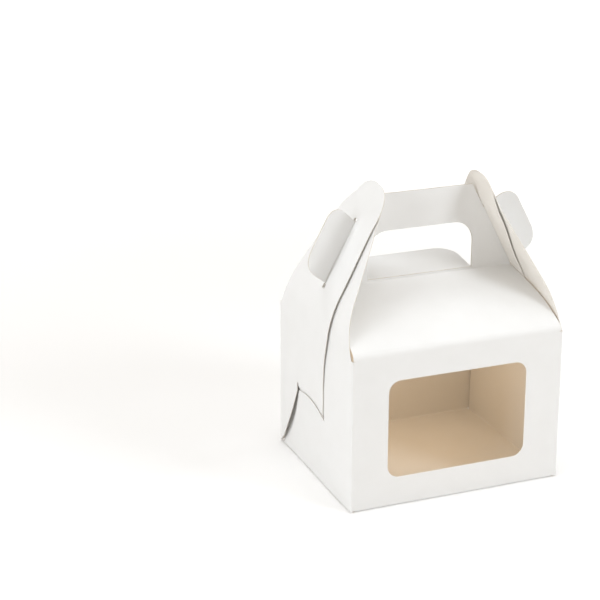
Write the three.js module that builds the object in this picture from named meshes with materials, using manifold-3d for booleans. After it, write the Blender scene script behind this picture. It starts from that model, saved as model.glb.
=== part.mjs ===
// Dessert carton: one die-cut board folded into a box with a handle and a film window.
// Millimetres, +Z up, X to the right along the front, Y to the back, origin under the middle of the base.
// The blank is the same for the front half and the back half: the back is the front turned by 180
// degrees.

import * as THREE from 'three';
import { mergeVertices } from 'three/addons/utils/BufferGeometryUtils.js';
import Module from 'manifold-3d';

const wasm = await Module();
wasm.setup();

// Board
const board = 0.5;
const layerGap = 0.3;
const layerStep = board + layerGap;

// Box
const width = 150;
const depth = 124;
const wallHeight = 106;
const creaseHeight = 133.5;
const handleTop = 193;
const baseBend = 1.2;
const cornerBend = 1.2;
const shoulderBend = 3;
const creaseBend = 1;
const cornerRelief = 2.5;
const cornerInset = 2;
const baseLap = 12;
const seamLap = 1;

// Leaning ends
const leanAngle = THREE.MathUtils.degToRad(27.7);
const leanRadius = 66;
const tipWidth = 54;
const tipLength = 105.6;
const tipShoulder = 79;
const bendSteps = 8;

// Round tip: half of its flat, then how far its curve runs and drops on the free side
const tipFlat = 3;
const tipRun = 10;
const tipDrop = 8;

// Shoulder from the tip down to the wall fold
const shoulderRun = 12;
const shoulderRise = 14;
const shoulderTuck = 3;
const shoulderFlare = 1.5;
const shoulderDrop = 19;
const shoulderSpread = 11;
const footInset = 2.5;
const footSweep = 14;
const footRise = 16;

// Hooks that hold each pair of end flaps together
const slitCrown = 52.5;
const slitRadius = 70;
const slitMiddle = 13;
const slitOpening = 4;
const slitFront = -15;
const tongueBack = 28.8;
const tongueHeight = 25;
const notchWidth = 1;
const bowOut = 1.5;
const bowRun = 14;
const notchRise = 6;
const slitOverrun = 1.5;
const lipEnd = 10;

// Tongue and free edges of the outer flap
const tongueShank = 6;
const tongueCorner = 14;
const tongueCornerRise = 16;
const hookStep = 1;
const hookRise = 8;
const edgeSweep = 20;
const edgeFlare = 3;
const outerEdge = 24;
const outerEdgeBow = 3.5;
const freeCornerIn = 18;
const freeCornerRise = 13;

// Free edges of the inner flap
const innerEdge = 17;
const innerEdgeTaper = 0.7;
const innerEdgeLow = 10;
const innerEdgeHigh = 26;
const innerTipInset = 1;
const innerTipDrop = 12;
const innerCornerIn = 5;
const innerCornerSweep = 24;

// Inner end walls
const innerWallHeight = 100;
const innerWallCorner = 8;
const sideClearance = 0.6;

// Window
const windowWidth = 99;
const windowHeight = 67.5;
const windowBottom = 20.5;
const windowRadius = 8.3;
const filmLap = 7.5;
const film = 0.25;

// Hand hole and its flaps
const holeWidth = 77;
const holeTop = 167.7;
const holeRadius = 14;
const holeFlapPlay = 0.5;
const holeFlapTilt = 8;
const holeFlapUnderTilt = 7.5;
const frontHingeRise = 1.6;
const backHingeRise = 0.6;

// Lock tabs, measured along the leaning end from the top of the walls
const tabSlitStart = 28.5;
const tabSlitEnd = 79;
const tabStart = 32;
const tabEnd = 76.5;
const tabReach = 21.4;
const tabFlare = 5.5;
const tabLift = 2;
const tabLowRadius = 16;
const tabHighRadius = 12;
const leftTabTurn = 12;
const rightTabTurn = 19;

const foldGap = 0.3;

// How finely the bent sheets are laid out
const tongueColumns = 6;
const bowColumns = 3;
const lowRows = 5;
const diveRows = 6;
const aboveRows = 2;
const slitSteps = 8;
const facetAngle = THREE.MathUtils.degToRad(12);

const boardWhite = new THREE.MeshStandardMaterial({
  name: 'board',
  color: 0xf0f0ee,
  roughness: 0.75,
  metalness: 0,
});
const filmClear = new THREE.MeshStandardMaterial({
  name: 'film',
  color: 0xf4f6f6,
  roughness: 0.12,
  metalness: 0,
  transparent: true,
  opacity: 0.2,
});

// Solids

function toSolid(geometry) {
  const bare = geometry.clone();
  bare.deleteAttribute('normal');
  bare.deleteAttribute('uv');
  const merged = mergeVertices(bare);
  const corners = Array.from(merged.index.array);
  const faces = [];
  for (let start = 0; start < corners.length; start += 3) {
    const [a, b, c] = corners.slice(start, start + 3);
    if (a !== b && b !== c && c !== a) faces.push(a, b, c);
  }
  return new wasm.Manifold(new wasm.Mesh({
    numProp: 3,
    vertProperties: new Float32Array(merged.attributes.position.array),
    triVerts: new Uint32Array(faces),
  }));
}

function toGeometry(solid) {
  const mesh = solid.getMesh();
  const indexed = new THREE.BufferGeometry();
  indexed.setAttribute('position', new THREE.BufferAttribute(mesh.vertProperties, 3));
  indexed.setIndex(new THREE.BufferAttribute(mesh.triVerts, 1));
  const geometry = indexed.toNonIndexed();
  geometry.computeVertexNormals();
  return geometry;
}

function extrude(shape, length, curveSegments = 8) {
  return new THREE.ExtrudeGeometry(shape, { depth: length, bevelEnabled: false, curveSegments });
}

// A shape drawn in Y and Z, drawn out along X
function alongX(shape, from, to) {
  const axes = new THREE.Matrix4().makeBasis(
    new THREE.Vector3(0, 1, 0),
    new THREE.Vector3(0, 0, 1),
    new THREE.Vector3(1, 0, 0),
  );
  axes.setPosition(from, 0, 0);
  return toSolid(extrude(shape, to - from).applyMatrix4(axes));
}

// A shape drawn in X and Z, drawn out along Y
function alongY(shape, from, to) {
  const axes = new THREE.Matrix4().makeBasis(
    new THREE.Vector3(1, 0, 0),
    new THREE.Vector3(0, 0, 1),
    new THREE.Vector3(0, -1, 0),
  );
  axes.setPosition(0, to, 0);
  return toSolid(extrude(shape, to - from).applyMatrix4(axes));
}

// Points and outward normals of a board's outer face, along corners that each have a bend radius.
// The face lies to the left of the way that the corners run.
function foldedPath(corners) {
  const stations = [];
  corners.forEach((corner, index) => {
    const before = corners[index - 1];
    const after = corners[index + 1];
    const point = new THREE.Vector2(corner.u, corner.v);
    const arriving = before && point.clone().sub(new THREE.Vector2(before.u, before.v)).normalize();
    const leaving = after && new THREE.Vector2(after.u, after.v).sub(point).normalize();
    const facing = (way) => new THREE.Vector2(-way.y, way.x);
    if (!corner.bend) {
      stations.push({ point, normal: facing(leaving ?? arriving) });
      return;
    }
    const turn = Math.atan2(arriving.cross(leaving), arriving.dot(leaving));
    const setBack = corner.bend * Math.tan(Math.abs(turn) / 2);
    const start = point.clone().addScaledVector(arriving, -setBack);
    const centreSide = Math.sign(turn);
    const centre = start.clone().addScaledVector(facing(arriving), centreSide * corner.bend);
    const steps = Math.max(2, Math.round(Math.abs(turn) / facetAngle));
    for (let step = 0; step <= steps; step += 1) {
      const normal = facing(arriving).rotateAround(new THREE.Vector2(), (turn * step) / steps);
      stations.push({ point: centre.clone().addScaledVector(normal, -centreSide * corner.bend), normal });
    }
  });
  return stations;
}

// The section of a board folded along such a path
function foldedSection(corners) {
  const stations = foldedPath(corners);
  const outer = stations.map(({ point }) => point);
  const inner = stations.map(({ point, normal }) => point.clone().addScaledVector(normal, -board));
  return new THREE.Shape([...outer, ...inner.reverse()]);
}

function roundedRectangle(halfWidth, bottom, top, bottomRadius, topRadius) {
  const shape = new THREE.Shape();
  shape.moveTo(-halfWidth + bottomRadius, bottom);
  shape.lineTo(halfWidth - bottomRadius, bottom);
  if (bottomRadius > 0) {
    shape.absarc(halfWidth - bottomRadius, bottom + bottomRadius, bottomRadius, -Math.PI / 2, 0);
  }
  shape.lineTo(halfWidth, top - topRadius);
  shape.absarc(halfWidth - topRadius, top - topRadius, topRadius, 0, Math.PI / 2);
  shape.lineTo(-halfWidth + topRadius, top);
  shape.absarc(-halfWidth + topRadius, top - topRadius, topRadius, Math.PI / 2, Math.PI);
  shape.lineTo(-halfWidth, bottom + bottomRadius);
  if (bottomRadius > 0) {
    shape.absarc(-halfWidth + bottomRadius, bottom + bottomRadius, bottomRadius, Math.PI, 1.5 * Math.PI);
  }
  return shape;
}

// The leaning end: where a length of board, measured up from the top of the walls, comes to lie
function leanAt(length) {
  const angle = THREE.MathUtils.clamp(length / leanRadius, 0, leanAngle);
  const straight = Math.max(length - leanRadius * leanAngle, 0);
  return {
    angle,
    inward: leanRadius * (1 - Math.cos(angle)) + straight * Math.sin(angle),
    height: wallHeight + Math.min(length, 0) + leanRadius * Math.sin(angle) + straight * Math.cos(angle),
  };
}

// A point over the right end, at an offset outwards from the outer face of its inner layer
function rightEndPoint(length, offset) {
  const { angle, inward, height } = leanAt(length);
  return new THREE.Vector2(
    width / 2 - inward + offset * Math.cos(angle),
    height + offset * Math.sin(angle),
  );
}

function lengths(from, to, steps) {
  return Array.from({ length: steps + 1 }, (_, index) => THREE.MathUtils.lerp(from, to, index / steps));
}

const bendLengths = lengths(0, leanRadius * leanAngle, bendSteps);
const handleFace = layerGap / 2 + board;
const wallRun = width / 2 - cornerInset;
const hingeHeight = { front: creaseHeight + frontHingeRise, back: creaseHeight + backHingeRise };

// Front half: base edge, wall, roof and handle

function frontHalf(hinge, hasWindow) {
  const section = foldedSection([
    { u: -depth / 2 + baseLap, v: 0 },
    { u: -depth / 2, v: 0, bend: baseBend },
    { u: -depth / 2, v: wallHeight, bend: shoulderBend },
    { u: -handleFace, v: creaseHeight, bend: creaseBend },
    { u: -handleFace, v: handleTop },
  ]);
  let half = alongX(section, -width / 2, width / 2).intersect(alongY(frontOutline(), -depth, depth));
  const hole = roundedRectangle(holeWidth / 2, hinge - foldGap, holeTop, 0, holeRadius);
  half = half.subtract(alongY(hole, -depth / 4, depth / 4));
  if (hasWindow) {
    const windowTop = windowBottom + windowHeight;
    const opening = roundedRectangle(windowWidth / 2, windowBottom, windowTop, windowRadius, windowRadius);
    half = half.subtract(alongY(opening, -depth, -depth / 4));
  }
  return half;
}

// Seen from the front: the wall, then the edges that follow the leaning ends, with a neck for each lock tab
function frontOutline() {
  const besideEnd = (length) => rightEndPoint(length, -board - layerGap);
  const neck = (length) => rightEndPoint(length, layerStep + layerGap);
  const reliefHeight = wallHeight - cornerRelief + layerGap;
  const edge = [
    new THREE.Vector2(wallRun, -board),
    new THREE.Vector2(wallRun, reliefHeight),
    new THREE.Vector2(besideEnd(0).x, reliefHeight),
    ...bendLengths.slice(0, -1).map(besideEnd),
    besideEnd(tabStart),
    neck(tabStart),
    neck(tabEnd),
    besideEnd(tabEnd),
    besideEnd(tipLength),
  ];
  const mirrored = edge.map(({ x, y }) => new THREE.Vector2(-x, y)).reverse();
  return new THREE.Shape([...edge, ...mirrored]);
}

// Base and the two end walls that stand up inside the ends

function tray() {
  const outside = width / 2 - 2 * layerStep;
  const section = foldedSection([
    { u: outside, v: innerWallHeight },
    { u: outside, v: 0, bend: baseBend },
    { u: -outside, v: 0, bend: baseBend },
    { u: -outside, v: innerWallHeight },
  ]);
  const halfDepth = depth / 2 - board - sideClearance;
  const outline = roundedRectangle(halfDepth, -board, innerWallHeight, 0, innerWallCorner);
  return alongY(section, -halfDepth, halfDepth).intersect(alongX(outline, -width, width));
}

// End flaps of the left end

function slitHeight(y) {
  return slitCrown - (y - slitMiddle) ** 2 / (2 * slitRadius);
}

// Offsets from the outer flap's own layer: it dives through the slit of the inner flap and ends in a
// tongue inside.
// Behind the notch it stays outside, and its free corner bows out a little.
function outerFlapOffset(y, height) {
  if (y < tongueBack) {
    const passed = THREE.MathUtils.smoothstep(height, slitHeight(y), slitHeight(y) + slitOpening);
    return THREE.MathUtils.lerp(-2 * layerStep, 0, passed);
  }
  const awayFromFold = 1 - THREE.MathUtils.smoothstep(y, tongueBack + bowRun, depth / 2);
  const low = 1 - THREE.MathUtils.smoothstep(height, slitCrown / 3, (4 * slitCrown) / 3);
  return bowOut * awayFromFold * low;
}

// A flap as a bent sheet, far larger than its outline: columns follow the folded plan, rows run up it
function bentSheet(columns, rowsAt, offsetAt) {
  const rowCount = rowsAt(0).length;
  const positions = [];
  for (const side of [0, -board]) {
    for (const { point, normal } of columns) {
      for (const length of rowsAt(point.y)) {
        const { angle, inward, height } = leanAt(length);
        const offset = offsetAt(point.y, wallHeight + length) * Math.abs(normal.x) + side;
        positions.push(
          point.x + inward + normal.x * Math.cos(angle) * offset,
          point.y + normal.y * offset,
          height + Math.abs(normal.x) * Math.sin(angle) * offset,
        );
      }
    }
  }
  const at = (side, column, row) => (side * columns.length + column) * rowCount + row;
  const faces = [];
  const quad = (a, b, c, d) => faces.push(a, b, c, a, c, d);
  for (let column = 0; column < columns.length - 1; column += 1) {
    for (let row = 0; row < rowCount - 1; row += 1) {
      quad(at(0, column, row), at(0, column, row + 1), at(0, column + 1, row + 1), at(0, column + 1, row));
      quad(at(1, column, row), at(1, column + 1, row), at(1, column + 1, row + 1), at(1, column, row + 1));
    }
    const top = rowCount - 1;
    quad(at(0, column, 0), at(0, column + 1, 0), at(1, column + 1, 0), at(1, column, 0));
    quad(at(0, column, top), at(1, column, top), at(1, column + 1, top), at(0, column + 1, top));
  }
  const last = columns.length - 1;
  for (let row = 0; row < rowCount - 1; row += 1) {
    quad(at(0, 0, row), at(1, 0, row), at(1, 0, row + 1), at(0, 0, row + 1));
    quad(at(0, last, row), at(0, last, row + 1), at(1, last, row + 1), at(1, last, row));
  }
  const geometry = new THREE.BufferGeometry();
  geometry.setAttribute('position', new THREE.Float32BufferAttribute(positions, 3));
  geometry.setIndex(faces);
  return toSolid(geometry);
}

const upperRows = [...bendLengths, tipLength + board];

// An outline drawn on the flat flap, with its slit for the lock tabs, as a cutter along X.
// Lengths along the flap turn into heights here, so the outline keeps its true size on the lean.
function flapCutter(flat) {
  const raise = ({ x, y }) => new THREE.Vector2(x, leanAt(y).height);
  const shape = new THREE.Shape(flat.getPoints(10).map(raise));
  const halfSlit = handleFace + layerGap;
  const slit = [
    [-halfSlit, tabSlitStart],
    [halfSlit, tabSlitStart],
    [halfSlit, tabSlitEnd],
    [-halfSlit, tabSlitEnd],
  ];
  shape.holes.push(new THREE.Path(slit.map(([y, length]) => raise({ x: y, y: length }))));
  return alongX(shape, -width, 0);
}

// The round tip and the shoulder down to the wall fold, shared by both flaps.
// Side is 1 where the flap hangs on the back wall and -1 where it hangs on the front wall.
function drawFreeShoulder(path, side, half, drop) {
  path.bezierCurveTo(
    -side * half,
    tipLength - drop,
    -side * (half - tipRun),
    tipLength,
    -side * tipFlat,
    tipLength,
  );
}

function drawFixedShoulder(path, side) {
  const half = tipWidth / 2;
  const foot = depth / 2 - footInset;
  path.bezierCurveTo(
    side * shoulderRun,
    tipLength,
    side * (half - shoulderTuck),
    tipShoulder + shoulderRise,
    side * (half + shoulderFlare),
    tipShoulder,
  );
  path.bezierCurveTo(
    side * (half + shoulderSpread),
    tipShoulder - shoulderDrop,
    side * (depth / 2 - footSweep),
    footRise,
    side * foot,
    0,
  );
  path.lineTo(side * foot, -cornerRelief);
  path.lineTo(side * depth, -cornerRelief);
}

function outerFlap() {
  const left = -width / 2 - layerStep;
  const half = tipWidth / 2;
  const wide = tongueBack + notchWidth / 2;
  const slim = tongueBack - notchWidth / 2;
  const columns = foldedPath([
    { u: left, v: -half - outerEdgeBow },
    ...lengths(slitFront, slim, tongueColumns).map((v) => ({ u: left, v })),
    ...lengths(wide, tongueBack + 1.5 * bowRun, bowColumns).map((v) => ({ u: left, v })),
    { u: left, v: depth / 2, bend: cornerBend },
    { u: seamLap - wallRun, v: depth / 2 },
  ]);
  const rows = (y) => {
    const slit = slitHeight(THREE.MathUtils.clamp(y, slitFront, tongueBack)) - wallHeight;
    const dive = lengths(slit - board, slit + slitOpening + board, diveRows);
    const low = lengths(-wallHeight, slit - slitOpening, lowRows);
    const above = lengths(slit + 2 * slitOpening, -board, aboveRows);
    return [...low, ...dive, ...above, ...upperRows];
  };
  const floor = -wallHeight + board;
  const lip = slitHeight(tongueBack) - wallHeight;
  const bottom = lip - tongueHeight;
  const path = new THREE.Path();
  path.moveTo(depth, floor);
  path.lineTo(depth / 2 - board, floor);
  path.quadraticCurveTo(depth / 2 - freeCornerIn, floor + freeCornerRise, wide, lip);
  path.lineTo(wide, lip + notchRise);
  path.lineTo(slim, lip + notchRise);
  path.lineTo(slim, lip - tongueShank);
  path.quadraticCurveTo(slim, bottom, slitMiddle, bottom);
  path.lineTo(slitFront + tongueCorner, bottom);
  path.quadraticCurveTo(slitFront, bottom, slitFront, bottom + tongueCornerRise);
  path.lineTo(slitFront - hookStep, lip + hookRise);
  path.bezierCurveTo(
    slitFront - hookStep,
    -edgeSweep,
    edgeFlare - outerEdge,
    -edgeSweep / 2,
    -outerEdge,
    0,
  );
  path.bezierCurveTo(
    -half - outerEdgeBow,
    tipShoulder / 3,
    -half,
    (2 * tipShoulder) / 3,
    -half,
    tipShoulder,
  );
  drawFreeShoulder(path, 1, half, tipDrop);
  drawFixedShoulder(path, 1);
  return bentSheet(columns, rows, outerFlapOffset).intersect(flapCutter(path));
}

function innerFlap() {
  const left = -width / 2;
  const half = tipWidth / 2 - innerTipInset;
  const columns = foldedPath([
    { u: seamLap - wallRun, v: -depth / 2 },
    { u: left, v: -depth / 2, bend: cornerBend },
    { u: left, v: depth / 2 },
  ]);
  const floor = -wallHeight + board;
  const lip = (y) => slitHeight(y) - wallHeight;
  const slitEnd = slitFront - slitOverrun;
  const path = new THREE.Path();
  path.moveTo(-depth, floor);
  path.lineTo(depth / 2 - innerCornerIn, floor);
  path.quadraticCurveTo(
    depth / 2 - innerCornerSweep,
    floor + freeCornerRise,
    tongueBack,
    lip(tongueBack),
  );
  lengths(tongueBack, slitEnd, slitSteps).forEach((y) => path.lineTo(y, lip(y)));
  lengths(slitEnd, tongueBack - lipEnd, slitSteps).forEach((y) => path.lineTo(y, lip(y) + slitOpening));
  path.lineTo(innerEdge, -innerEdgeLow);
  path.lineTo(innerEdge - innerEdgeTaper, innerEdgeHigh);
  path.bezierCurveTo(
    innerEdge - innerEdgeTaper,
    (2 * tipShoulder) / 3,
    half,
    (3 * tipShoulder) / 4,
    half,
    tipShoulder,
  );
  drawFreeShoulder(path, -1, half, innerTipDrop);
  drawFixedShoulder(path, -1);
  return bentSheet(columns, () => [-wallHeight, ...upperRows], () => 0).intersect(flapCutter(path));
}

// Flaps that move

function panelMesh(name, shape) {
  const geometry = extrude(shape, board, 6);
  geometry.translate(0, 0, -board / 2);
  const mesh = new THREE.Mesh(toGeometry(toSolid(geometry)), boardWhite);
  mesh.name = name;
  return mesh;
}

// A lock tab drawn with X away from its fold and Y up along it. It flares out above, which locks it.
function lockTabShape() {
  const length = tabEnd - tabStart;
  const shape = new THREE.Shape();
  shape.moveTo(foldGap, 0);
  shape.lineTo(tabReach - tabLowRadius, tabLift / 2);
  shape.quadraticCurveTo(tabReach, tabLift, tabReach, tabLift + tabLowRadius);
  shape.lineTo(tabReach, length + tabFlare - tabHighRadius);
  shape.quadraticCurveTo(tabReach, length + tabFlare, tabReach - tabHighRadius, length + tabFlare / 2);
  shape.lineTo(foldGap, length - foldGap);
  return shape;
}

// Side is -1 at the left end and 1 at the right end; layer is -1 on the front handle and 1 on the back one.
// A positive turn swings the tab towards the back.
function lockTab(name, side, layer, turn) {
  const along = rightEndPoint(tabStart, layerStep + layerGap + foldGap);
  const fold = new THREE.Group();
  fold.position.set(side * along.x, layer * (layerGap + board) / 2, along.y);
  const outward = new THREE.Vector3(side * Math.cos(leanAngle), 0, Math.sin(leanAngle));
  const upward = new THREE.Vector3(-side * Math.sin(leanAngle), 0, Math.cos(leanAngle));
  fold.quaternion.setFromRotationMatrix(new THREE.Matrix4().makeBasis(
    outward,
    upward,
    new THREE.Vector3().crossVectors(outward, upward),
  ));
  const tab = panelMesh(name, lockTabShape());
  tab.rotation.y = side * THREE.MathUtils.degToRad(turn);
  fold.add(tab);
  return fold;
}

// A hand-hole flap drawn with X along its fold and Y away from it
function holeFlap(name, layer, hinge, tilt) {
  const half = holeWidth / 2 - holeFlapPlay;
  const reach = holeTop - holeFlapPlay - hinge;
  const flap = panelMesh(name, roundedRectangle(half, foldGap, reach, 0, holeRadius - holeFlapPlay));
  flap.position.set(0, layer * (layerGap + board) / 2, hinge);
  flap.rotation.x = THREE.MathUtils.degToRad(tilt);
  return flap;
}

function filmMesh() {
  const half = windowWidth / 2 + filmLap;
  const shape = roundedRectangle(half, windowBottom - filmLap, windowBottom + windowHeight + filmLap, 1, 1);
  const back = -depth / 2 + board + layerGap + film;
  const mesh = new THREE.Mesh(toGeometry(alongY(shape, back - film, back)), filmClear);
  mesh.name = 'window_film';
  return mesh;
}

function cartonMesh() {
  const turned = (solid) => solid.rotate([0, 0, 180]);
  const leftEnd = [outerFlap(), innerFlap()];
  const parts = [
    tray(),
    frontHalf(hingeHeight.front, true),
    turned(frontHalf(hingeHeight.back, false)),
    ...leftEnd,
    ...leftEnd.map(turned),
  ];
  const joined = parts.reduce((whole, next) => whole.add(next));
  const mesh = new THREE.Mesh(toGeometry(joined), boardWhite);
  mesh.name = 'carton';
  return mesh;
}

const group = new THREE.Group();
group.add(
  cartonMesh(),
  filmMesh(),
  lockTab('front_lock_tab_left', -1, -1, -leftTabTurn),
  lockTab('back_lock_tab_left', -1, 1, -leftTabTurn),
  lockTab('front_lock_tab_right', 1, -1, -rightTabTurn),
  lockTab('back_lock_tab_right', 1, 1, -rightTabTurn),
  holeFlap('front_hand_hole_flap', -1, hingeHeight.front, holeFlapTilt),
  holeFlap('back_hand_hole_flap', 1, hingeHeight.back, holeFlapUnderTilt),
);

export default group;
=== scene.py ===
# Dessert carton: white board folded into a box with a handle, a film window and hooked end flaps.
# Every sheet is cut out flat in millimetres, bent along its folds, then given its thickness.

import math

import bmesh
import bpy
from mathutils import Matrix, Vector, geometry, noise


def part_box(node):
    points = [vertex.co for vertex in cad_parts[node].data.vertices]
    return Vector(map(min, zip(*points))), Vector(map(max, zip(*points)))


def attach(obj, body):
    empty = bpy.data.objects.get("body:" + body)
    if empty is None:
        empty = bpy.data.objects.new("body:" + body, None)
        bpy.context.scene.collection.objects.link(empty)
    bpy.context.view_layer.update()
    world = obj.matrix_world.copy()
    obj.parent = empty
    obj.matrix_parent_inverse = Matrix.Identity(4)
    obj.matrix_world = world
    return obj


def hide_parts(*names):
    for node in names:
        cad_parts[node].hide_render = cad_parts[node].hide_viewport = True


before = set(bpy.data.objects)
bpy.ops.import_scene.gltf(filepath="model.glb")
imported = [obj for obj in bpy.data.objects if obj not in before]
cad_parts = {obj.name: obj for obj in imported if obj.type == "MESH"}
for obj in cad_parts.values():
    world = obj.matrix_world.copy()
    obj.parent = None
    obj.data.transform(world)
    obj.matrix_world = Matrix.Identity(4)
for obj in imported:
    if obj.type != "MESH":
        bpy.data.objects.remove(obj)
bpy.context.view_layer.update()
mm = 0.001

# Sizes in millimetres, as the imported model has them
box = {
    "board": 0.5,
    "gap": 0.3,
    "width": 150.0,
    "depth": 1000 * (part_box("carton")[1][1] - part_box("carton")[0][1]),
    "wall": 106.0,
    "crease": 133.5,
    "handleTop": 193.0,
    "foldBend": 1.2,
    "creaseBend": 1.0,
    "relief": 1.0,
    "seamFoot": 1.25,
    "seamCut": 1.0,
    "wallRun": 73.0,
    "innerWall": 100.0,
    "innerCorner": 8.0,
}
# The roof bulges: it leaves the wall in a round shoulder and reaches the crease in a long, slow curve
roof = {"shoulder": (108.5, 6.0), "bulge": (38.0, 122.5, 120.0)}
lean = {"angle": math.radians(27.7), "radius": 66.0}
tip = {"half": 27.0, "length": 105.6, "shoulder": 79.0, "overlap": 3.0}
# The edge of an end flap on the side of its own fold, from the tip down to the top of the wall
shoulder = {
    "crown": 12.0,
    "tuck": 3.0,
    "tuckHeight": 93.0,
    "flare": 1.5,
    "spread": 11.0,
    "spreadHeight": 60.0,
    "toFoot": (14.0, 16.0),
    "footIn": 2.5,
}
hook = {
    "crown": 52.5,
    "radius": 70.0,
    "middle": 13.0,
    "opening": 4.0,
    "front": -15.0,
    "back": 28.8,
    "tongue": 25.0,
    "notch": 1.0,
    "bow": 1.5,
    "flat": 14.0,
}
# The free edges of the two layers at each end, from the base up to the tip
outerFlap = {
    "heelIn": 0.5,
    "toe": (18.0, 13.0),
    "notchRise": 2.0,
    "notchDrop": 6.0,
    "tongueRound": 14.0,
    "tongueDrop": 9.0,
    "step": 1.0,
    "stepRise": 8.0,
    "waist": (21.0, 10.0),
    "neck": 24.0,
    "swell": 3.5,
    "tipDrop": 8.0,
    "tipIn": 10.0,
    "weave": 10.0,
}
innerFlap = {
    "past": 1.5,
    "narrower": 1.0,
    "heelIn": 5.0,
    "toe": (24.0, 13.0),
    "hookEnd": 10.0,
    "edge": [(17.0, -10.0), (16.3, 26.0)],
    "tipDrop": 12.0,
    "tipIn": 10.0,
}
window = {"half": 49.5, "bottom": 20.5, "top": 88.0, "radius": 8.3}
hole = {"half": 38.5, "top": 167.7, "radius": 14.0, "play": 0.5, "tilt": 8.0, "underTilt": 7.5}
hinge = {"front": 135.1, "back": 134.1}
tab = {
    "slitStart": 28.5,
    "slitEnd": 79.0,
    "slitEye": 1.9,
    "slitPlay": 0.4,
    "start": 32.0,
    "end": 76.5,
    "reach": 21.4,
    "flare": 5.5,
    "lift": 2.0,
    "lowRadius": 16.0,
    "highRadius": 12.0,
    "leftTurn": 12.0,
    "rightTurn": 19.0,
    "fold": 1.4,
    "hairline": 0.1,
}

# Softness of the folded board: how far a sheet strays from flat, and how far loose edges lift
soft = {
    "wander": 0.22,
    "wavelength": 62.0,
    "starts": ((11.3, 0.2, 4.1), (2.7, 19.4, 7.9)),
    "liftReach": 18.0,
    "outerLift": 1.1,
    "outerFrom": (58.0, 92.0),
    "outerFade": (150.0, 205.0),
    "outerDrop": 0.45,
    "innerLift": 0.9,
    "innerEdge": 2.0,
    "innerFrom": (24.0, 44.0),
    "innerFade": 92.0,
}
# Folded by hand, the tips stand a little to the front, and the right one is slimmer at its rear
curl = {
    "rightTip": 6.0,
    "from": 80.0,
    "shiftFrom": 78.0,
    "shiftOver": 22.0,
    "rightShift": 4.0,
    "leftShift": 3.0,
    "rightSlim": 0.22,
}

# Where each sheet lies in the board's texture, in metres, so that no two show the same grain
grain = {
    "back": 0.4,
    "tray": 0.8,
    "outer": 1.2,
    "inner": 2.0,
    "turned": 0.4,
    "tab": 2.8,
    "flap": 3.2,
    "next": 0.1,
}
grid = {
    "plain": 6.0,
    "bend": 2.0,
    "flap": 5.0,
    "flapEdge": 30.0,
    "hook": 3.0,
    "weave": 0.8,
    "belowFold": 3.0,
    "plateShort": 4.0,
    "plateLong": 5.0,
    "sharpFrom": 32.0,
    "arcSteps": 8,
    "curveSteps": 20,
}


# Curves in the flat

def bezier(start, firstControl, secondControl, end):
    points = []
    for step in range(1, grid["curveSteps"] + 1):
        t = step / grid["curveSteps"]
        k = 1 - t
        weights = (k ** 3, 3 * k * k * t, 3 * k * t * t, t ** 3)
        controls = (start, firstControl, secondControl, end)
        points.append(tuple(sum(w * c[axis] for w, c in zip(weights, controls)) for axis in (0, 1)))
    return points


def quadratic(start, control, end):
    first = tuple(start[axis] + 2 / 3 * (control[axis] - start[axis]) for axis in (0, 1))
    second = tuple(end[axis] + 2 / 3 * (control[axis] - end[axis]) for axis in (0, 1))
    return bezier(start, first, second, end)


def arc(centre, radius, fromAngle, toAngle):
    points = []
    for step in range(grid["curveSteps"] // 2 + 1):
        angle = math.radians(fromAngle + (toAngle - fromAngle) * step / (grid["curveSteps"] // 2))
        points.append((centre[0] + radius * math.cos(angle), centre[1] + radius * math.sin(angle)))
    return points


def roundedRectangle(half, bottom, top, bottomRadius, topRadius):
    points = []
    corners = (
        (half, bottom, bottomRadius),
        (half, top, topRadius),
        (-half, top, topRadius),
        (-half, bottom, bottomRadius),
    )
    for index, (x, y, radius) in enumerate(corners):
        if not radius:
            points.append((x, y))
            continue
        centre = (x - math.copysign(radius, x), y + (radius if y == bottom else -radius))
        points += arc(centre, radius, 90 * index - 90, 90 * index)
    return points


def steps(start, end, spacing):
    count = max(1, round(abs(end - start) / spacing))
    return [start + (end - start) * index / count for index in range(count + 1)]


# A folded line: straight runs joined by round bends, walked by its developed length

def foldLine(corners):
    pieces = []
    place = Vector(corners[0][:2])
    for index in range(1, len(corners)):
        corner = Vector(corners[index][:2])
        bend = corners[index][2] if len(corners[index]) > 2 else 0
        way = (corner - place).normalized()
        if not bend:
            pieces.append(("straight", (corner - place).length, place.copy(), way, 0, 0))
            place = corner
            continue
        leaving = (Vector(corners[index + 1][:2]) - corner).normalized()
        turn = math.atan2(way.x * leaving.y - way.y * leaving.x, way.dot(leaving))
        setBack = bend * math.tan(abs(turn) / 2)
        start = corner - way * setBack
        if (start - place).length > 1e-6:
            pieces.append(("straight", (start - place).length, place.copy(), way, 0, 0))
        pieces.append(("bend", bend * abs(turn), start.copy(), way, bend, turn))
        place = corner + leaving * setBack
    return pieces


def onLine(pieces, length):
    for index, (kind, span, start, way, radius, turn) in enumerate(pieces):
        if length > span and index < len(pieces) - 1:
            length -= span
            continue
        normal = Vector((-way.y, way.x))
        if kind == "straight":
            return start + way * length, normal
        side = 1 if turn > 0 else -1
        centre = start + normal * radius * side
        swing = Matrix.Rotation(turn * length / span, 2)
        normal = swing @ normal
        return centre - normal * radius * side, normal


def lineCuts(pieces, spacing):
    cuts = []
    place = 0.0
    for kind, span, *_ in pieces:
        if kind == "straight":
            cuts += steps(place, place + span, spacing)
        else:
            cuts += [place + span * index / grid["arcSteps"] for index in range(grid["arcSteps"] + 1)]
        place += span
    return cuts


# The lean of the end flaps

leanEnd = lean["radius"] * lean["angle"]


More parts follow.
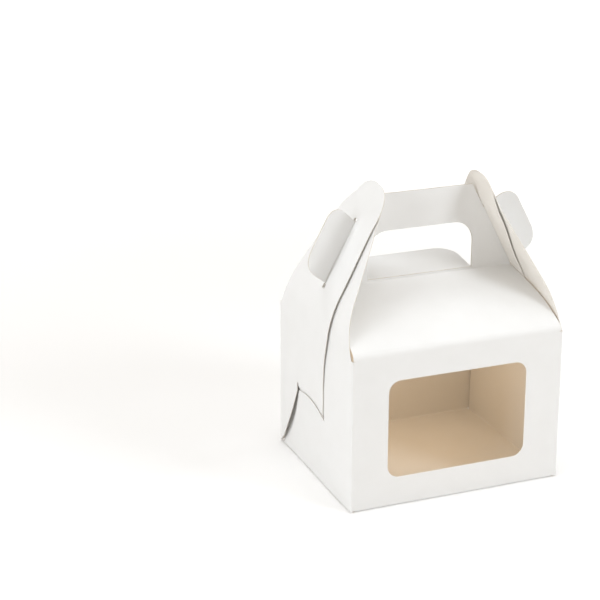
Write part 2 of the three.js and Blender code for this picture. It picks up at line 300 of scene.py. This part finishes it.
def leanAt(length):
    angle = min(max(length / lean["radius"], 0), lean["angle"])
    straight = max(length - leanEnd, 0)
    inward = lean["radius"] * (1 - math.cos(angle)) + straight * math.sin(angle)
    height = box["wall"] + min(length, 0) + lean["radius"] * math.sin(angle) + straight * math.cos(angle)
    return angle, inward, height


def rightEndPoint(length, offset):
    angle, inward, height = leanAt(length)
    return box["width"] / 2 - inward + offset * math.cos(angle), height + offset * math.sin(angle)


def smooth(value, low, high):
    share = min(max((value - low) / (high - low), 0), 1)
    return share * share * (3 - 2 * share)


# Board that isn't quite flat: one slow wander through space, so that layers move together

def wander(point):
    place = point / soft["wavelength"]
    shift = Vector((*[noise.noise(place + Vector(start)) for start in soft["starts"]], 0))
    moved = point + shift * 2 * soft["wander"]
    half = box["depth"] / 2
    moved.y = max(-half, min(half, moved.y))
    return moved


# Flat cutting: an outline with holes, cut through along grid lines

def isInside(point, loop):
    inside = False
    for (ax, ay), (bx, by) in zip(loop, [*loop[1:], loop[0]]):
        if (ay > point[1]) != (by > point[1]):
            if point[0] < ax + (bx - ax) * (point[1] - ay) / (by - ay):
                inside = not inside
    return inside


def cutFlat(outline, holes, uCuts, vCuts):
    points = []
    edges = []
    for loop in [outline, *holes]:
        clean = [loop[index] for index in range(len(loop)) if math.dist(loop[index], loop[index - 1]) > 1e-4]
        first = len(points)
        points += [Vector(point) for point in clean]
        edges += [(first + index, first + (index + 1) % len(clean)) for index in range(len(clean))]
    flatPoints, _, flatFaces, *_ = geometry.delaunay_2d_cdt(points, edges, [], 2, 1e-5)
    flat = bmesh.new()
    corners = [flat.verts.new((point.x, point.y, 0)) for point in flatPoints]
    for face in flatFaces:
        ring = [flatPoints[index] for index in face]
        centre = sum(ring, Vector((0, 0))) / len(ring)
        if not any(isInside(centre, hole) for hole in holes):
            flat.faces.new([corners[index] for index in face])
    for axis, cuts in ((0, uCuts), (1, vCuts)):
        way = Vector((1, 0, 0)) if axis == 0 else Vector((0, 1, 0))
        low = min(point[axis] for point in outline)
        high = max(point[axis] for point in outline)
        for cut in cuts:
            if low + 1e-3 < cut < high - 1e-3:
                everything = flat.verts[:] + flat.edges[:] + flat.faces[:]
                bmesh.ops.bisect_plane(flat, geom=everything, dist=1e-5, plane_co=way * cut, plane_no=way)

    def onCut(edge):
        for axis, cuts in ((0, uCuts), (1, vCuts)):
            a, b = (corner.co[axis] for corner in edge.verts)
            if abs(a - b) < 1e-4 and any(abs(a - cut) < 1e-3 for cut in cuts):
                return True
        return False

    spare = [edge for edge in flat.edges if len(edge.link_faces) == 2 and not onCut(edge)]
    bmesh.ops.dissolve_edges(flat, edges=spare, use_verts=False)
    flat.faces.ensure_lookup_table()
    return flat


# A sheet: flat panels bent into place, welded where they meet and thickened inwards

def sheetPiece(name, panels, body, node):
    whole = bmesh.new()
    uvLayer = whole.loops.layers.uv.new("blank")
    for panel in panels:
        flat = cutFlat(panel["outline"], panel.get("holes", []), panel["uCuts"], panel["vCuts"])
        corners = {
            corner: whole.verts.new(panel["place"](corner.co.x, corner.co.y) * mm) for corner in flat.verts
        }
        for face in flat.faces:
            if face.calc_area() < 1e-7:
                continue
            ring = list(face.verts) if face.normal.z > 0 else list(reversed(face.verts))
            if panel["flip"]:
                ring.reverse()
            made = whole.faces.new([corners[corner] for corner in ring])
            made.smooth = True
            for loop, corner in zip(made.loops, ring):
                loop[uvLayer].uv = (corner.co.x * mm + panel["shift"], corner.co.y * mm)
        flat.free()
    bmesh.ops.remove_doubles(whole, verts=whole.verts[:], dist=0.02 * mm)
    loose = [corner for corner in whole.verts if not corner.link_faces]
    bmesh.ops.delete(whole, geom=loose, context="VERTS")
    mesh = bpy.data.meshes.new(name)
    whole.to_mesh(mesh)
    whole.free()
    for material in (boardWhite, boardInside, boardEdge):
        mesh.materials.append(material)
    thin = bpy.data.objects.new(name, mesh)
    bpy.context.scene.collection.objects.link(thin)
    thickness = thin.modifiers.new("thickness", "SOLIDIFY")
    thickness.thickness = box["board"] * mm
    thickness.offset = -1
    thickness.use_even_offset = True
    thickness.material_offset = 1
    thickness.material_offset_rim = 2
    depsgraph = bpy.context.evaluated_depsgraph_get()
    solid = bpy.data.meshes.new_from_object(thin.evaluated_get(depsgraph))
    thin.modifiers.clear()
    thin.data = solid
    bpy.data.meshes.remove(mesh)
    solid.name = name
    markCutEdges(solid)
    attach(thin, body)
    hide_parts(node)
    print("made", name, len(solid.polygons), "faces")
    return thin


def markCutEdges(mesh):
    work = bmesh.new()
    work.from_mesh(mesh)
    for edge in work.edges:
        edge.smooth = len(edge.link_faces) == 2 and edge.calc_face_angle(0) < math.radians(grid["sharpFrom"])
    for face in work.faces:
        face.smooth = True
    work.to_mesh(mesh)
    work.free()


# Materials

def newMaterial(name):
    material = bpy.data.materials.new(name)
    material.use_nodes = True
    nodes = material.node_tree.nodes
    return material, nodes, material.node_tree.links, nodes["Principled BSDF"]


def boardMaterial(name, look):
    fibres = {"stretch": 2.2, "detail": 4, "cloudDetail": 3, "low": 0.3, "high": 0.8, "depth": 0.00006}
    material, nodes, links, shader = newMaterial(name)
    shader.inputs["Roughness"].default_value = look["roughness"]
    shader.inputs["Specular IOR Level"].default_value = look["gloss"]
    coordinates = nodes.new("ShaderNodeTexCoord")
    stretch = nodes.new("ShaderNodeMapping")
    stretch.inputs["Scale"].default_value = (1, fibres["stretch"], 1)
    links.new(coordinates.outputs["UV"], stretch.inputs["Vector"])
    fibre = nodes.new("ShaderNodeTexNoise")
    fibre.inputs["Scale"].default_value = look["fibreScale"]
    fibre.inputs["Detail"].default_value = fibres["detail"]
    links.new(stretch.outputs["Vector"], fibre.inputs["Vector"])
    cloud = nodes.new("ShaderNodeTexNoise")
    cloud.inputs["Scale"].default_value = look["cloudScale"]
    cloud.inputs["Detail"].default_value = fibres["cloudDetail"]
    links.new(coordinates.outputs["UV"], cloud.inputs["Vector"])
    blend = nodes.new("ShaderNodeMath")
    blend.operation = "MULTIPLY_ADD"
    blend.inputs[1].default_value = look["fibreShare"]
    links.new(fibre.outputs["Fac"], blend.inputs[0])
    links.new(cloud.outputs["Fac"], blend.inputs[2])
    tone = nodes.new("ShaderNodeMapRange")
    tone.inputs["From Min"].default_value = fibres["low"]
    tone.inputs["From Max"].default_value = fibres["high"] + look["fibreShare"]
    links.new(blend.outputs["Value"], tone.inputs["Value"])
    colour = nodes.new("ShaderNodeMix")
    colour.data_type = "RGBA"
    colour.inputs["A"].default_value = (*look["darker"], 1)
    colour.inputs["B"].default_value = (*look["colour"], 1)
    links.new(tone.outputs["Result"], colour.inputs["Factor"])
    links.new(colour.outputs["Result"], shader.inputs["Base Color"])
    bump = nodes.new("ShaderNodeBump")
    bump.inputs["Strength"].default_value = look["bump"]
    bump.inputs["Distance"].default_value = fibres["depth"]
    links.new(fibre.outputs["Fac"], bump.inputs["Height"])
    links.new(bump.outputs["Normal"], shader.inputs["Normal"])
    return material


def filmMaterial(look):
    material, nodes, links, shader = newMaterial("clear film")
    nodes.remove(shader)
    clear = nodes.new("ShaderNodeBsdfTransparent")
    clear.inputs["Color"].default_value = (*look["colour"], 1)
    gloss = nodes.new("ShaderNodeBsdfGlossy")
    gloss.inputs["Roughness"].default_value = look["roughness"]
    fresnel = nodes.new("ShaderNodeFresnel")
    fresnel.inputs["IOR"].default_value = look["index"]
    ripple = nodes.new("ShaderNodeTexNoise")
    ripple.inputs["Scale"].default_value = look["rippleScale"]
    coordinates = nodes.new("ShaderNodeTexCoord")
    bump = nodes.new("ShaderNodeBump")
    bump.inputs["Strength"].default_value = look["ripple"]
    bump.inputs["Distance"].default_value = mm
    links.new(coordinates.outputs["Object"], ripple.inputs["Vector"])
    links.new(ripple.outputs["Fac"], bump.inputs["Height"])
    links.new(bump.outputs["Normal"], gloss.inputs["Normal"])
    # The film's far side sees its rays from within, where the mirror term would go to full
    sheet = nodes.new("ShaderNodeNewGeometry")
    outside = nodes.new("ShaderNodeMath")
    outside.operation = "SUBTRACT"
    outside.inputs[0].default_value = 1
    links.new(sheet.outputs["Backfacing"], outside.inputs[1])
    share = nodes.new("ShaderNodeMath")
    share.operation = "MULTIPLY"
    links.new(fresnel.outputs["Fac"], share.inputs[0])
    links.new(outside.outputs["Value"], share.inputs[1])
    mix = nodes.new("ShaderNodeMixShader")
    links.new(share.outputs["Value"], mix.inputs["Fac"])
    links.new(clear.outputs["BSDF"], mix.inputs[1])
    links.new(gloss.outputs["BSDF"], mix.inputs[2])
    links.new(mix.outputs["Shader"], nodes["Material Output"].inputs["Surface"])
    return material


boardWhite = boardMaterial("white board", {
    "colour": (0.83, 0.83, 0.825),
    "darker": (0.79, 0.79, 0.78),
    "roughness": 0.55,
    "gloss": 0.35,
    "fibreScale": 900,
    "cloudScale": 60,
    "fibreShare": 0.5,
    "bump": 0.25,
})
boardInside = boardMaterial("board inside", {
    "colour": (0.82, 0.79, 0.745),
    "darker": (0.78, 0.745, 0.69),
    "roughness": 0.75,
    "gloss": 0.2,
    "fibreScale": 700,
    "cloudScale": 50,
    "fibreShare": 0.8,
    "bump": 0.2,
})
boardEdge = boardMaterial("cut board edge", {
    "colour": (0.78, 0.75, 0.70),
    "darker": (0.70, 0.66, 0.60),
    "roughness": 0.85,
    "gloss": 0.1,
    "fibreScale": 1500,
    "cloudScale": 200,
    "fibreShare": 1.0,
    "bump": 0.6,
})


# Values that several panels share

layerStep = box["board"] + box["gap"]
handleFace = box["gap"] / 2 + box["board"]
trayEdge = box["width"] / 2 - 2 * layerStep
baseHalf = trayEdge - box["foldBend"]
baseCuts = steps(-baseHalf, baseHalf, grid["plain"])
wallCuts = steps(box["seamFoot"], box["wall"] - box["relief"], grid["plain"])


# Front and back: wall, roof and handle in one strip. The height up the wall is the flat height.

stripLine = foldLine([
    (-box["depth"] / 2 + box["foldBend"], 0),
    (-box["depth"] / 2, 0, box["foldBend"]),
    (-box["depth"] / 2, *roof["shoulder"]),
    (-roof["bulge"][0], *roof["bulge"][1:]),
    (-handleFace, box["crease"], box["creaseBend"]),
    (-handleFace, box["handleTop"]),
])
stripStart = box["foldBend"] * (1 - math.pi / 2)
stripLength = sum(piece[1] for piece in stripLine)


def flatHeight(height):
    low, high = 0.0, stripLength
    for _ in range(40):
        middle = (low + high) / 2
        if onLine(stripLine, middle)[0].y < height:
            low = middle
        else:
            high = middle
    return stripStart + low


def stripPlace(side):
    def place(u, v):
        point, _ = onLine(stripLine, v - stripStart)
        return wander(Vector((-side * u, -side * point.x, point.y)))
    return place


def stripOutline():
    neckOffset = tab["fold"] - tab["hairline"] / 2
    reliefTop = box["wall"] - box["relief"]
    edge = [(baseHalf, stripStart), (baseHalf, box["seamFoot"])]
    edge += [(box["wallRun"], box["seamFoot"]), (box["wallRun"], reliefTop)]
    edge.append((box["wallRun"], reliefTop + box["gap"]))
    edge.append((rightEndPoint(0, -layerStep)[0], reliefTop + box["gap"]))
    sides = [rightEndPoint(length, -layerStep) for length in steps(0, tab["start"], grid["bend"])]
    sides += [rightEndPoint(length, neckOffset) for length in (tab["start"], tab["end"])]
    straight = (box["handleTop"] - leanAt(leanEnd)[2]) / math.cos(lean["angle"])
    topShift = layerStep * math.tan(lean["angle"])
    sides += [rightEndPoint(length, -layerStep) for length in (tab["end"], leanEnd + straight + topShift)]
    edge += [(x, flatHeight(z)) for x, z in sides]
    return edge + [(-x, v) for x, v in reversed(edge)]


def stripPanel(side, hasWindow):
    hingeHeight = hinge["front"] if side < 0 else hinge["back"]
    lowest = box["wall"] - grid["belowFold"]
    foldCuts = [stripStart + cut for cut in lineCuts(stripLine, grid["plain"]) if cut > lowest]
    onHandle = box["handleTop"] - hole["radius"]
    handleShift = flatHeight(onHandle) - onHandle
    holes = [roundedRectangle(
        hole["half"],
        flatHeight(hingeHeight - tab["hairline"] / 2),
        hole["top"] + handleShift,
        0,
        hole["radius"],
    )]
    if hasWindow:
        holes.append(roundedRectangle(
            window["half"], window["bottom"], window["top"], window["radius"], window["radius"],
        ))
    return {
        "outline": stripOutline(),
        "holes": holes,
        "uCuts": baseCuts,
        "vCuts": wallCuts + foldCuts,
        "place": stripPlace(side),
        "flip": False,
        "shift": grain["back"] if side > 0 else 0,
    }


# Base with the two inner end walls

def trayPanel():
    line = foldLine([
        (trayEdge, box["innerWall"]),
        (trayEdge, 0, box["foldBend"]),
        (-trayEdge, 0, box["foldBend"]),
        (-trayEdge, box["innerWall"]),
    ])
    total = sum(piece[1] for piece in line)
    baseStart = line[0][1] + line[1][1]
    baseEnd = baseStart + baseHalf * 2
    half = box["depth"] / 2 - box["foldBend"]
    radius = box["innerCorner"]
    outline = [(radius, -half), (baseStart, -half)]
    outline += [(baseEnd, -half), (total - radius, -half)]
    outline += arc((total - radius, -half + radius), radius, -90, 0)
    outline += arc((total - radius, half - radius), radius, 0, 90)
    outline += arc((radius, half - radius), radius, 90, 180)
    outline += arc((radius, -half + radius), radius, 180, 270)

    def place(u, v):
        point, _ = onLine(line, u)
        return wander(Vector((point.x, v, point.y)))

    cuts = [cut for cut in lineCuts(line, grid["plain"]) if cut < baseStart or cut > baseEnd]
    cuts += [baseStart + baseHalf - x for x in baseCuts]
    return {
        "outline": outline,
        "uCuts": cuts,
        "vCuts": steps(-half, half, grid["plain"]),
        "place": place,
        "flip": False,
        "shift": grain["tray"],
    }


# End flaps of the left end. The flat height is the height up the wall, then the length up the lean.

cornerStart = box["depth"] / 2 - box["foldBend"]
cornerSweep = box["foldBend"] * math.pi / 2


def planPoint(w, side, face):
    # Side is -1 for a flap on the front wall and 1 for one on the back wall
    out = w * side
    if out <= cornerStart:
        return Vector((-face, w)), Vector((-1, 0))
    centre = Vector((-face + box["foldBend"], side * cornerStart))
    swing = min((out - cornerStart) / box["foldBend"], math.pi / 2)
    normal = Vector((-math.cos(swing), side * math.sin(swing)))
    beyond = max(out - cornerStart - cornerSweep, 0)
    return centre + normal * box["foldBend"] + Vector((beyond, 0)), normal


def flapPlace(side, face, offsetAt, turned):
    def place(w, v):
        point, normal = planPoint(w, side, face)
        angle, inward, height = leanAt(v - box["wall"])
        offset = offsetAt(w, v) * abs(normal.x)
        spot = Vector((
            point.x + inward + normal.x * math.cos(angle) * offset,
            point.y,
            height + abs(normal.x) * math.sin(angle) * offset,
        ))
        if turned:
            risen = max(v - box["wall"] - curl["from"], 0) / (tip["length"] - curl["from"])
            spot.x -= curl["rightTip"] * risen ** 2
            spot = Vector((-spot.x, -spot.y, spot.z))
        ease = smooth(v - box["wall"], curl["shiftFrom"], curl["shiftFrom"] + curl["shiftOver"])
        if turned and spot.y > 0:
            spot.y *= 1 - curl["rightSlim"] * ease
        spot.y -= ease * (curl["rightShift"] if turned else curl["leftShift"])
        return wander(spot)
    return place


def slitHeight(y):
    return hook["crown"] - (y - hook["middle"]) ** 2 / (2 * hook["radius"])


def outerOffset(w, v):
    if w < hook["back"]:
        passed = smooth(v, slitHeight(w), slitHeight(w) + hook["opening"])
        lift = soft["outerLift"] * (1 - smooth(w, -tip["half"], -tip["half"] + soft["liftReach"]))
        lift *= smooth(v, *soft["outerFrom"]) * (1 - soft["outerDrop"] * smooth(v, *soft["outerFade"]))
        return -2 * layerStep * (1 - passed) + lift
    awayFromFold = 1 - smooth(w, hook["back"] + hook["flat"], box["depth"] / 2)
    low = 1 - smooth(v, hook["crown"] / 3, hook["crown"] * 4 / 3)
    return hook["bow"] * awayFromFold * low


def innerOffset(w, v):
    length = v - box["wall"]
    edge = tip["half"] - soft["innerEdge"]
    lift = soft["innerLift"] * smooth(w, edge - soft["liftReach"], edge)
    lift *= smooth(length, *soft["innerFrom"]) * (1 - smooth(length, soft["innerFade"], tip["length"]))
    return -lift


def fixedShoulder(side):
    top = box["wall"]
    half = tip["half"]
    foot = box["depth"] / 2 - shoulder["footIn"]
    run, rise = shoulder["toFoot"]
    points = bezier(
        (-side * tip["overlap"], top + tip["length"]),
        (side * shoulder["crown"], top + tip["length"]),
        (side * (half - shoulder["tuck"]), top + shoulder["tuckHeight"]),
        (side * (half + shoulder["flare"]), top + tip["shoulder"]),
    )
    points += bezier(
        points[-1],
        (side * (half + shoulder["spread"]), top + shoulder["spreadHeight"]),
        (side * (box["depth"] / 2 - run), top + rise),
        (side * foot, top),
    )
    return points + [(side * foot, top - box["relief"])]


def tabSlit():
    half = handleFace + box["gap"]
    start = box["wall"] + tab["slitStart"]
    end = box["wall"] + tab["slitEnd"]
    wide = tab["slitEye"]
    low = start + tab["start"] - tab["slitStart"] - tab["slitPlay"]
    high = end + tab["end"] - tab["slitEnd"] + tab["slitPlay"]
    right = [(wide, start), (wide, low), (half, low), (half, high), (wide, high), (wide, end)]
    return right + [(-y, v) for y, v in reversed(right)]


def leanCuts():
    top = box["wall"]
    return steps(top, top + leanEnd, grid["bend"]) + steps(top + leanEnd, top + tip["length"], grid["plain"])


def flapSeam(face):
    return cornerStart + cornerSweep + face - box["foldBend"] - box["wallRun"]


def flapCuts(side):
    across = steps(-grid["flapEdge"], cornerStart, grid["flap"])
    across += steps(cornerStart, cornerStart + cornerSweep, cornerSweep / grid["arcSteps"])
    return [side * cut for cut in across]


def outerPanel(turned):
    shape = outerFlap
    face = box["width"] / 2 + layerStep
    top = box["wall"]
    half = tip["half"]
    seam = flapSeam(face)
    back = hook["back"]
    foot = slitHeight(back)
    wide = back + hook["notch"] / 2
    slim = back - hook["notch"] / 2
    bottom = foot - hook["tongue"]
    front = hook["front"]
    opened = foot + hook["opening"] + shape["notchRise"]
    notchFoot = (slim, foot - shape["notchDrop"])
    toeIn, toeRise = shape["toe"]
    outline = [(seam, top - box["relief"]), (seam, box["seamFoot"]), (seam - box["seamCut"], box["board"])]
    outline += [(box["depth"] / 2 - shape["heelIn"], box["board"])]
    outline += quadratic(outline[-1], (box["depth"] / 2 - toeIn, toeRise), (wide, foot))
    outline += [(wide, opened), (slim, opened), notchFoot]
    outline += quadratic(notchFoot, (slim, bottom), (hook["middle"], bottom))
    outline += [(front + shape["tongueRound"], bottom)]
    outline += quadratic(outline[-1], (front, bottom), (front, foot - shape["tongueDrop"]))
    outline += [(front - shape["step"], foot + shape["stepRise"])]
    waistIn, waistDrop = shape["waist"]
    outline += bezier(
        outline[-1],
        (front - shape["step"], top - 2 * waistDrop),
        (-waistIn, top - waistDrop),
        (-shape["neck"], top),
    )
    outline += bezier(
        outline[-1],
        (-half - shape["swell"], top + tip["shoulder"] / 3),
        (-half, top + tip["shoulder"] * 2 / 3),
        (-half, top + tip["shoulder"]),
    )
    outline += bezier(
        outline[-1],
        (-half, top + tip["length"] - shape["tipDrop"]),
        (-half + shape["tipIn"], top + tip["length"]),
        (-tip["overlap"], top + tip["length"]),
    )
    outline += fixedShoulder(1)
    weave = steps(foot - shape["notchDrop"], foot + shape["weave"], grid["weave"])
    return {
        "outline": outline,
        "holes": [tabSlit()],
        "uCuts": flapCuts(1),
        "vCuts": wallCuts + weave + leanCuts(),
        "place": flapPlace(1, face, outerOffset, turned),
        "flip": True,
        "shift": grain["outer"] + turned * grain["turned"],
    }


def innerPanel(turned):
    shape = innerFlap
    face = box["width"] / 2
    top = box["wall"]
    half = tip["half"] - shape["narrower"]
    seam = flapSeam(face)
    floor = box["board"]
    front = hook["front"] - shape["past"]
    back = hook["back"]
    toeIn, toeRise = shape["toe"]
    outline = [(-seam, top - box["relief"]), (-seam, box["seamFoot"]), (-seam + box["seamCut"], floor)]
    outline += [(box["depth"] / 2 - shape["heelIn"], floor)]
    outline += quadratic(outline[-1], (box["depth"] / 2 - toeIn, floor + toeRise), (back, slitHeight(back)))
    outline += [(y, slitHeight(y)) for y in steps(back, front, grid["hook"])]
    hookBack = steps(front, back - shape["hookEnd"], grid["hook"])
    outline += [(y, slitHeight(y) + hook["opening"]) for y in hookBack]
    outline += [(y, top + rise) for y, rise in shape["edge"]]
    outline += bezier(
        outline[-1],
        (outline[-1][0], top + tip["shoulder"] * 2 / 3),
        (half, top + tip["shoulder"] * 3 / 4),
        (half, top + tip["shoulder"]),
    )
    outline += bezier(
        outline[-1],
        (half, top + tip["length"] - shape["tipDrop"]),
        (half - shape["tipIn"], top + tip["length"]),
        (tip["overlap"], top + tip["length"]),
    )
    outline += fixedShoulder(-1)
    return {
        "outline": outline,
        "holes": [tabSlit()],
        "uCuts": flapCuts(-1),
        "vCuts": wallCuts + leanCuts(),
        "place": flapPlace(-1, face, innerOffset, turned),
        "flip": True,
        "shift": grain["inner"] + turned * grain["turned"],
    }


def makeCarton():
    panels = [trayPanel(), stripPanel(-1, True), stripPanel(1, False)]
    for turned in (False, True):
        panels += [outerPanel(turned), innerPanel(turned)]
    return sheetPiece("folded_board", panels, "carton", "carton")


# Flaps that move

def plateCuts(outline, axis, spacing):
    low = min(point[axis] for point in outline)
    high = max(point[axis] for point in outline)
    return steps(low, high, spacing)


def makeLockTab(side, layer):
    sideWord = "left" if side < 0 else "right"
    layerWord = "front" if layer < 0 else "back"
    node = layerWord + "_lock_tab_" + sideWord
    turn = -math.radians(tab["leftTurn"] if side < 0 else tab["rightTurn"])
    length = tab["end"] - tab["start"]
    reach = tab["reach"]
    low = tab["lowRadius"]
    high = tab["highRadius"]
    root = tab["hairline"] / 2
    lift = tab["lift"]
    crown = length + tab["flare"]
    outline = [(root, 0), (reach - low, lift / 2)]
    outline += quadratic(outline[-1], (reach, lift), (reach, lift + low))
    outline += [(reach, crown - high)]
    outline += quadratic(outline[-1], (reach, crown), (reach - high, length + tab["flare"] / 2))
    outline += [(root, length - root)]
    x, z = rightEndPoint(tab["start"], tab["fold"])
    start = Vector((side * x, layer * (box["gap"] + box["board"]) / 2, z))
    outward = Vector((side * math.cos(lean["angle"]), 0, math.sin(lean["angle"])))
    upward = Vector((-side * math.sin(lean["angle"]), 0, math.cos(lean["angle"])))
    away = outward * math.cos(turn) + Vector((0, 1, 0)) * math.sin(turn)
    across = Vector((0, 1, 0)) * math.cos(turn) - outward * math.sin(turn)
    outerFace = across * layer * box["board"] / 2

    def place(u, v):
        return start + outerFace + away * u + upward * v

    return sheetPiece("board_" + node, [{
        "outline": outline,
        "uCuts": plateCuts(outline, 0, grid["plateShort"]),
        "vCuts": plateCuts(outline, 1, grid["plateLong"]),
        "place": place,
        "flip": side * layer > 0,
        "shift": grain["tab"] + grain["next"] * (layer + side / 2),
    }], node, node)


def makeHoleFlap(layer):
    word = "front" if layer < 0 else "back"
    node = word + "_hand_hole_flap"
    height = hinge[word]
    angle = math.radians(hole["tilt"] if layer < 0 else hole["underTilt"])
    start = Vector((0, layer * (box["gap"] + box["board"]) / 2, height))
    away = Vector((0, math.cos(angle), math.sin(angle)))
    up = Vector((0, -math.sin(angle), math.cos(angle)))
    outerFace = up * -layer * box["board"] / 2
    outline = roundedRectangle(
        hole["half"] - hole["play"],
        tab["hairline"] / 2,
        hole["top"] - hole["play"] - height,
        0,
        hole["radius"] - hole["play"],
    )

    def place(u, v):
        return start + outerFace + Vector((u, 0, 0)) + away * v

    return sheetPiece("board_" + node, [{
        "outline": outline,
        "uCuts": plateCuts(outline, 0, grid["plateLong"]),
        "vCuts": plateCuts(outline, 1, grid["plateShort"]),
        "place": place,
        "flip": layer > 0,
        "shift": grain["flap"] + grain["next"] * layer,
    }], node, node)


# Camera, floor and light

def makeCamera():
    view = {"place": (-0.4698, -0.9674, 0.5025), "turn": -21.66, "down": 19.82, "focal": 1702 / 600}
    data = bpy.data.cameras.new("camera")
    data.sensor_width = 36
    data.lens = 36 * view["focal"]
    camera = bpy.data.objects.new("camera", data)
    camera.location = view["place"]
    camera.rotation_euler = (math.radians(90 - view["down"]), 0, math.radians(view["turn"]))
    bpy.context.scene.collection.objects.link(camera)
    bpy.context.scene.camera = camera


def clearRay(nodes, links):
    path = nodes.new("ShaderNodeLightPath")
    level = path.outputs["Is Camera Ray"]
    for kind in ("Is Glossy Ray", "Is Transmission Ray"):
        either = nodes.new("ShaderNodeMath")
        either.operation = "MAXIMUM"
        links.new(level, either.inputs[0])
        links.new(path.outputs[kind], either.inputs[1])
        level = either.outputs["Value"]
    return level


def makeFloor():
    floor = {
        "size": 6.0,
        "level": -0.0001,
        "pale": 0.90,
        "glow": 0.10,
        "farGlow": 0.75,
        "near": 0.3,
        "far": 1.4,
    }
    mesh = bpy.data.meshes.new("floor")
    half = floor["size"] / 2
    corners = [(-half, -half), (half, -half), (half, half), (-half, half)]
    mesh.from_pydata([(x, y, floor["level"]) for x, y in corners], [], [(0, 1, 2, 3)])
    plane = bpy.data.objects.new("floor", mesh)
    bpy.context.scene.collection.objects.link(plane)
    material, nodes, links, shader = newMaterial("pale floor")
    shader.inputs["Base Color"].default_value = (*[floor["pale"]] * 3, 1)
    shader.inputs["Roughness"].default_value = 0.9
    shader.inputs["Specular IOR Level"].default_value = 0.1
    glow = nodes.new("ShaderNodeEmission")
    coordinates = nodes.new("ShaderNodeTexCoord")
    distance = nodes.new("ShaderNodeVectorMath")
    distance.operation = "LENGTH"
    links.new(coordinates.outputs["Object"], distance.inputs[0])
    spread = nodes.new("ShaderNodeMapRange")
    spread.interpolation_type = "SMOOTHSTEP"
    spread.inputs["From Min"].default_value = floor["near"]
    spread.inputs["From Max"].default_value = floor["far"]
    spread.inputs["To Min"].default_value = floor["glow"]
    spread.inputs["To Max"].default_value = floor["farGlow"]
    links.new(distance.outputs["Value"], spread.inputs["Value"])
    strength = nodes.new("ShaderNodeMath")
    strength.operation = "MULTIPLY"
    links.new(spread.outputs["Result"], strength.inputs[1])
    links.new(clearRay(nodes, links), strength.inputs[0])
    links.new(strength.outputs["Value"], glow.inputs["Strength"])
    both = nodes.new("ShaderNodeAddShader")
    links.new(shader.outputs["BSDF"], both.inputs[0])
    links.new(glow.outputs["Emission"], both.inputs[1])
    links.new(both.outputs["Shader"], nodes["Material Output"].inputs["Surface"])
    mesh.materials.append(material)


def makeWorld():
    ambientLight = {"colour": (1, 0.84, 0.66), "strength": 0.36}
    world = bpy.data.worlds.new("studio")
    bpy.context.scene.world = world
    world.use_nodes = True
    nodes = world.node_tree.nodes
    links = world.node_tree.links
    ambient = nodes["Background"]
    ambient.inputs["Color"].default_value = (*ambientLight["colour"], 1)
    ambient.inputs["Strength"].default_value = ambientLight["strength"]
    seen = nodes.new("ShaderNodeBackground")
    seen.inputs["Color"].default_value = (1, 1, 1, 1)
    seen.inputs["Strength"].default_value = 1.0
    mix = nodes.new("ShaderNodeMixShader")
    links.new(clearRay(nodes, links), mix.inputs["Fac"])
    links.new(ambient.outputs["Background"], mix.inputs[1])
    links.new(seen.outputs["Background"], mix.inputs[2])
    links.new(mix.outputs["Shader"], nodes["World Output"].inputs["Surface"])


def makeLamp(name, place, aim, size, energy, colour):
    data = bpy.data.lights.new(name, "AREA")
    data.size = size
    data.energy = energy
    data.color = colour
    lamp = bpy.data.objects.new(name, data)
    lamp.location = place
    lamp.rotation_euler = (Vector(aim) - Vector(place)).to_track_quat("-Z", "Y").to_euler()
    lamp.visible_camera = False
    bpy.context.scene.collection.objects.link(lamp)


makeCamera()
makeFloor()
makeWorld()
cool = (0.9, 0.95, 1)
warm = (1, 0.75, 0.5)
middle = (0, 0, 0.09)
makeLamp("key from the right", (1.0, -1.3, 0.95), middle, 0.6, 12.8, cool)
makeLamp("low light from the left", (-1.5, -0.4, 0.55), middle, 1.0, 13, cool)
makeLamp("side light from the right", (1.5, -0.1, 0.6), middle, 1.0, 8, cool)
makeLamp("light from above", (-0.1, 0.15, 1.7), middle, 1.2, 14, cool)
# Thin card lets some light through, which fills the closed box with a warm glow
makeLamp("glow inside", (0, 0, 0.105), (0, 0, 0), 0.06, 0.043, warm)
bpy.context.scene.view_settings.view_transform = "Standard"
print("stage ready")

makeCarton()
for side in (-1, 1):
    for layer in (-1, 1):
        makeLockTab(side, layer)
for layer in (-1, 1):
    makeHoleFlap(layer)

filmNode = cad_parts["window_film"]
filmNode.data.materials.clear()
filmNode.data.materials.append(filmMaterial({
    "colour": (0.985, 0.985, 0.98),
    "roughness": 0.06,
    "index": 1.3,
    "rippleScale": 14,
    "ripple": 0.15,
}))
print("film ready")
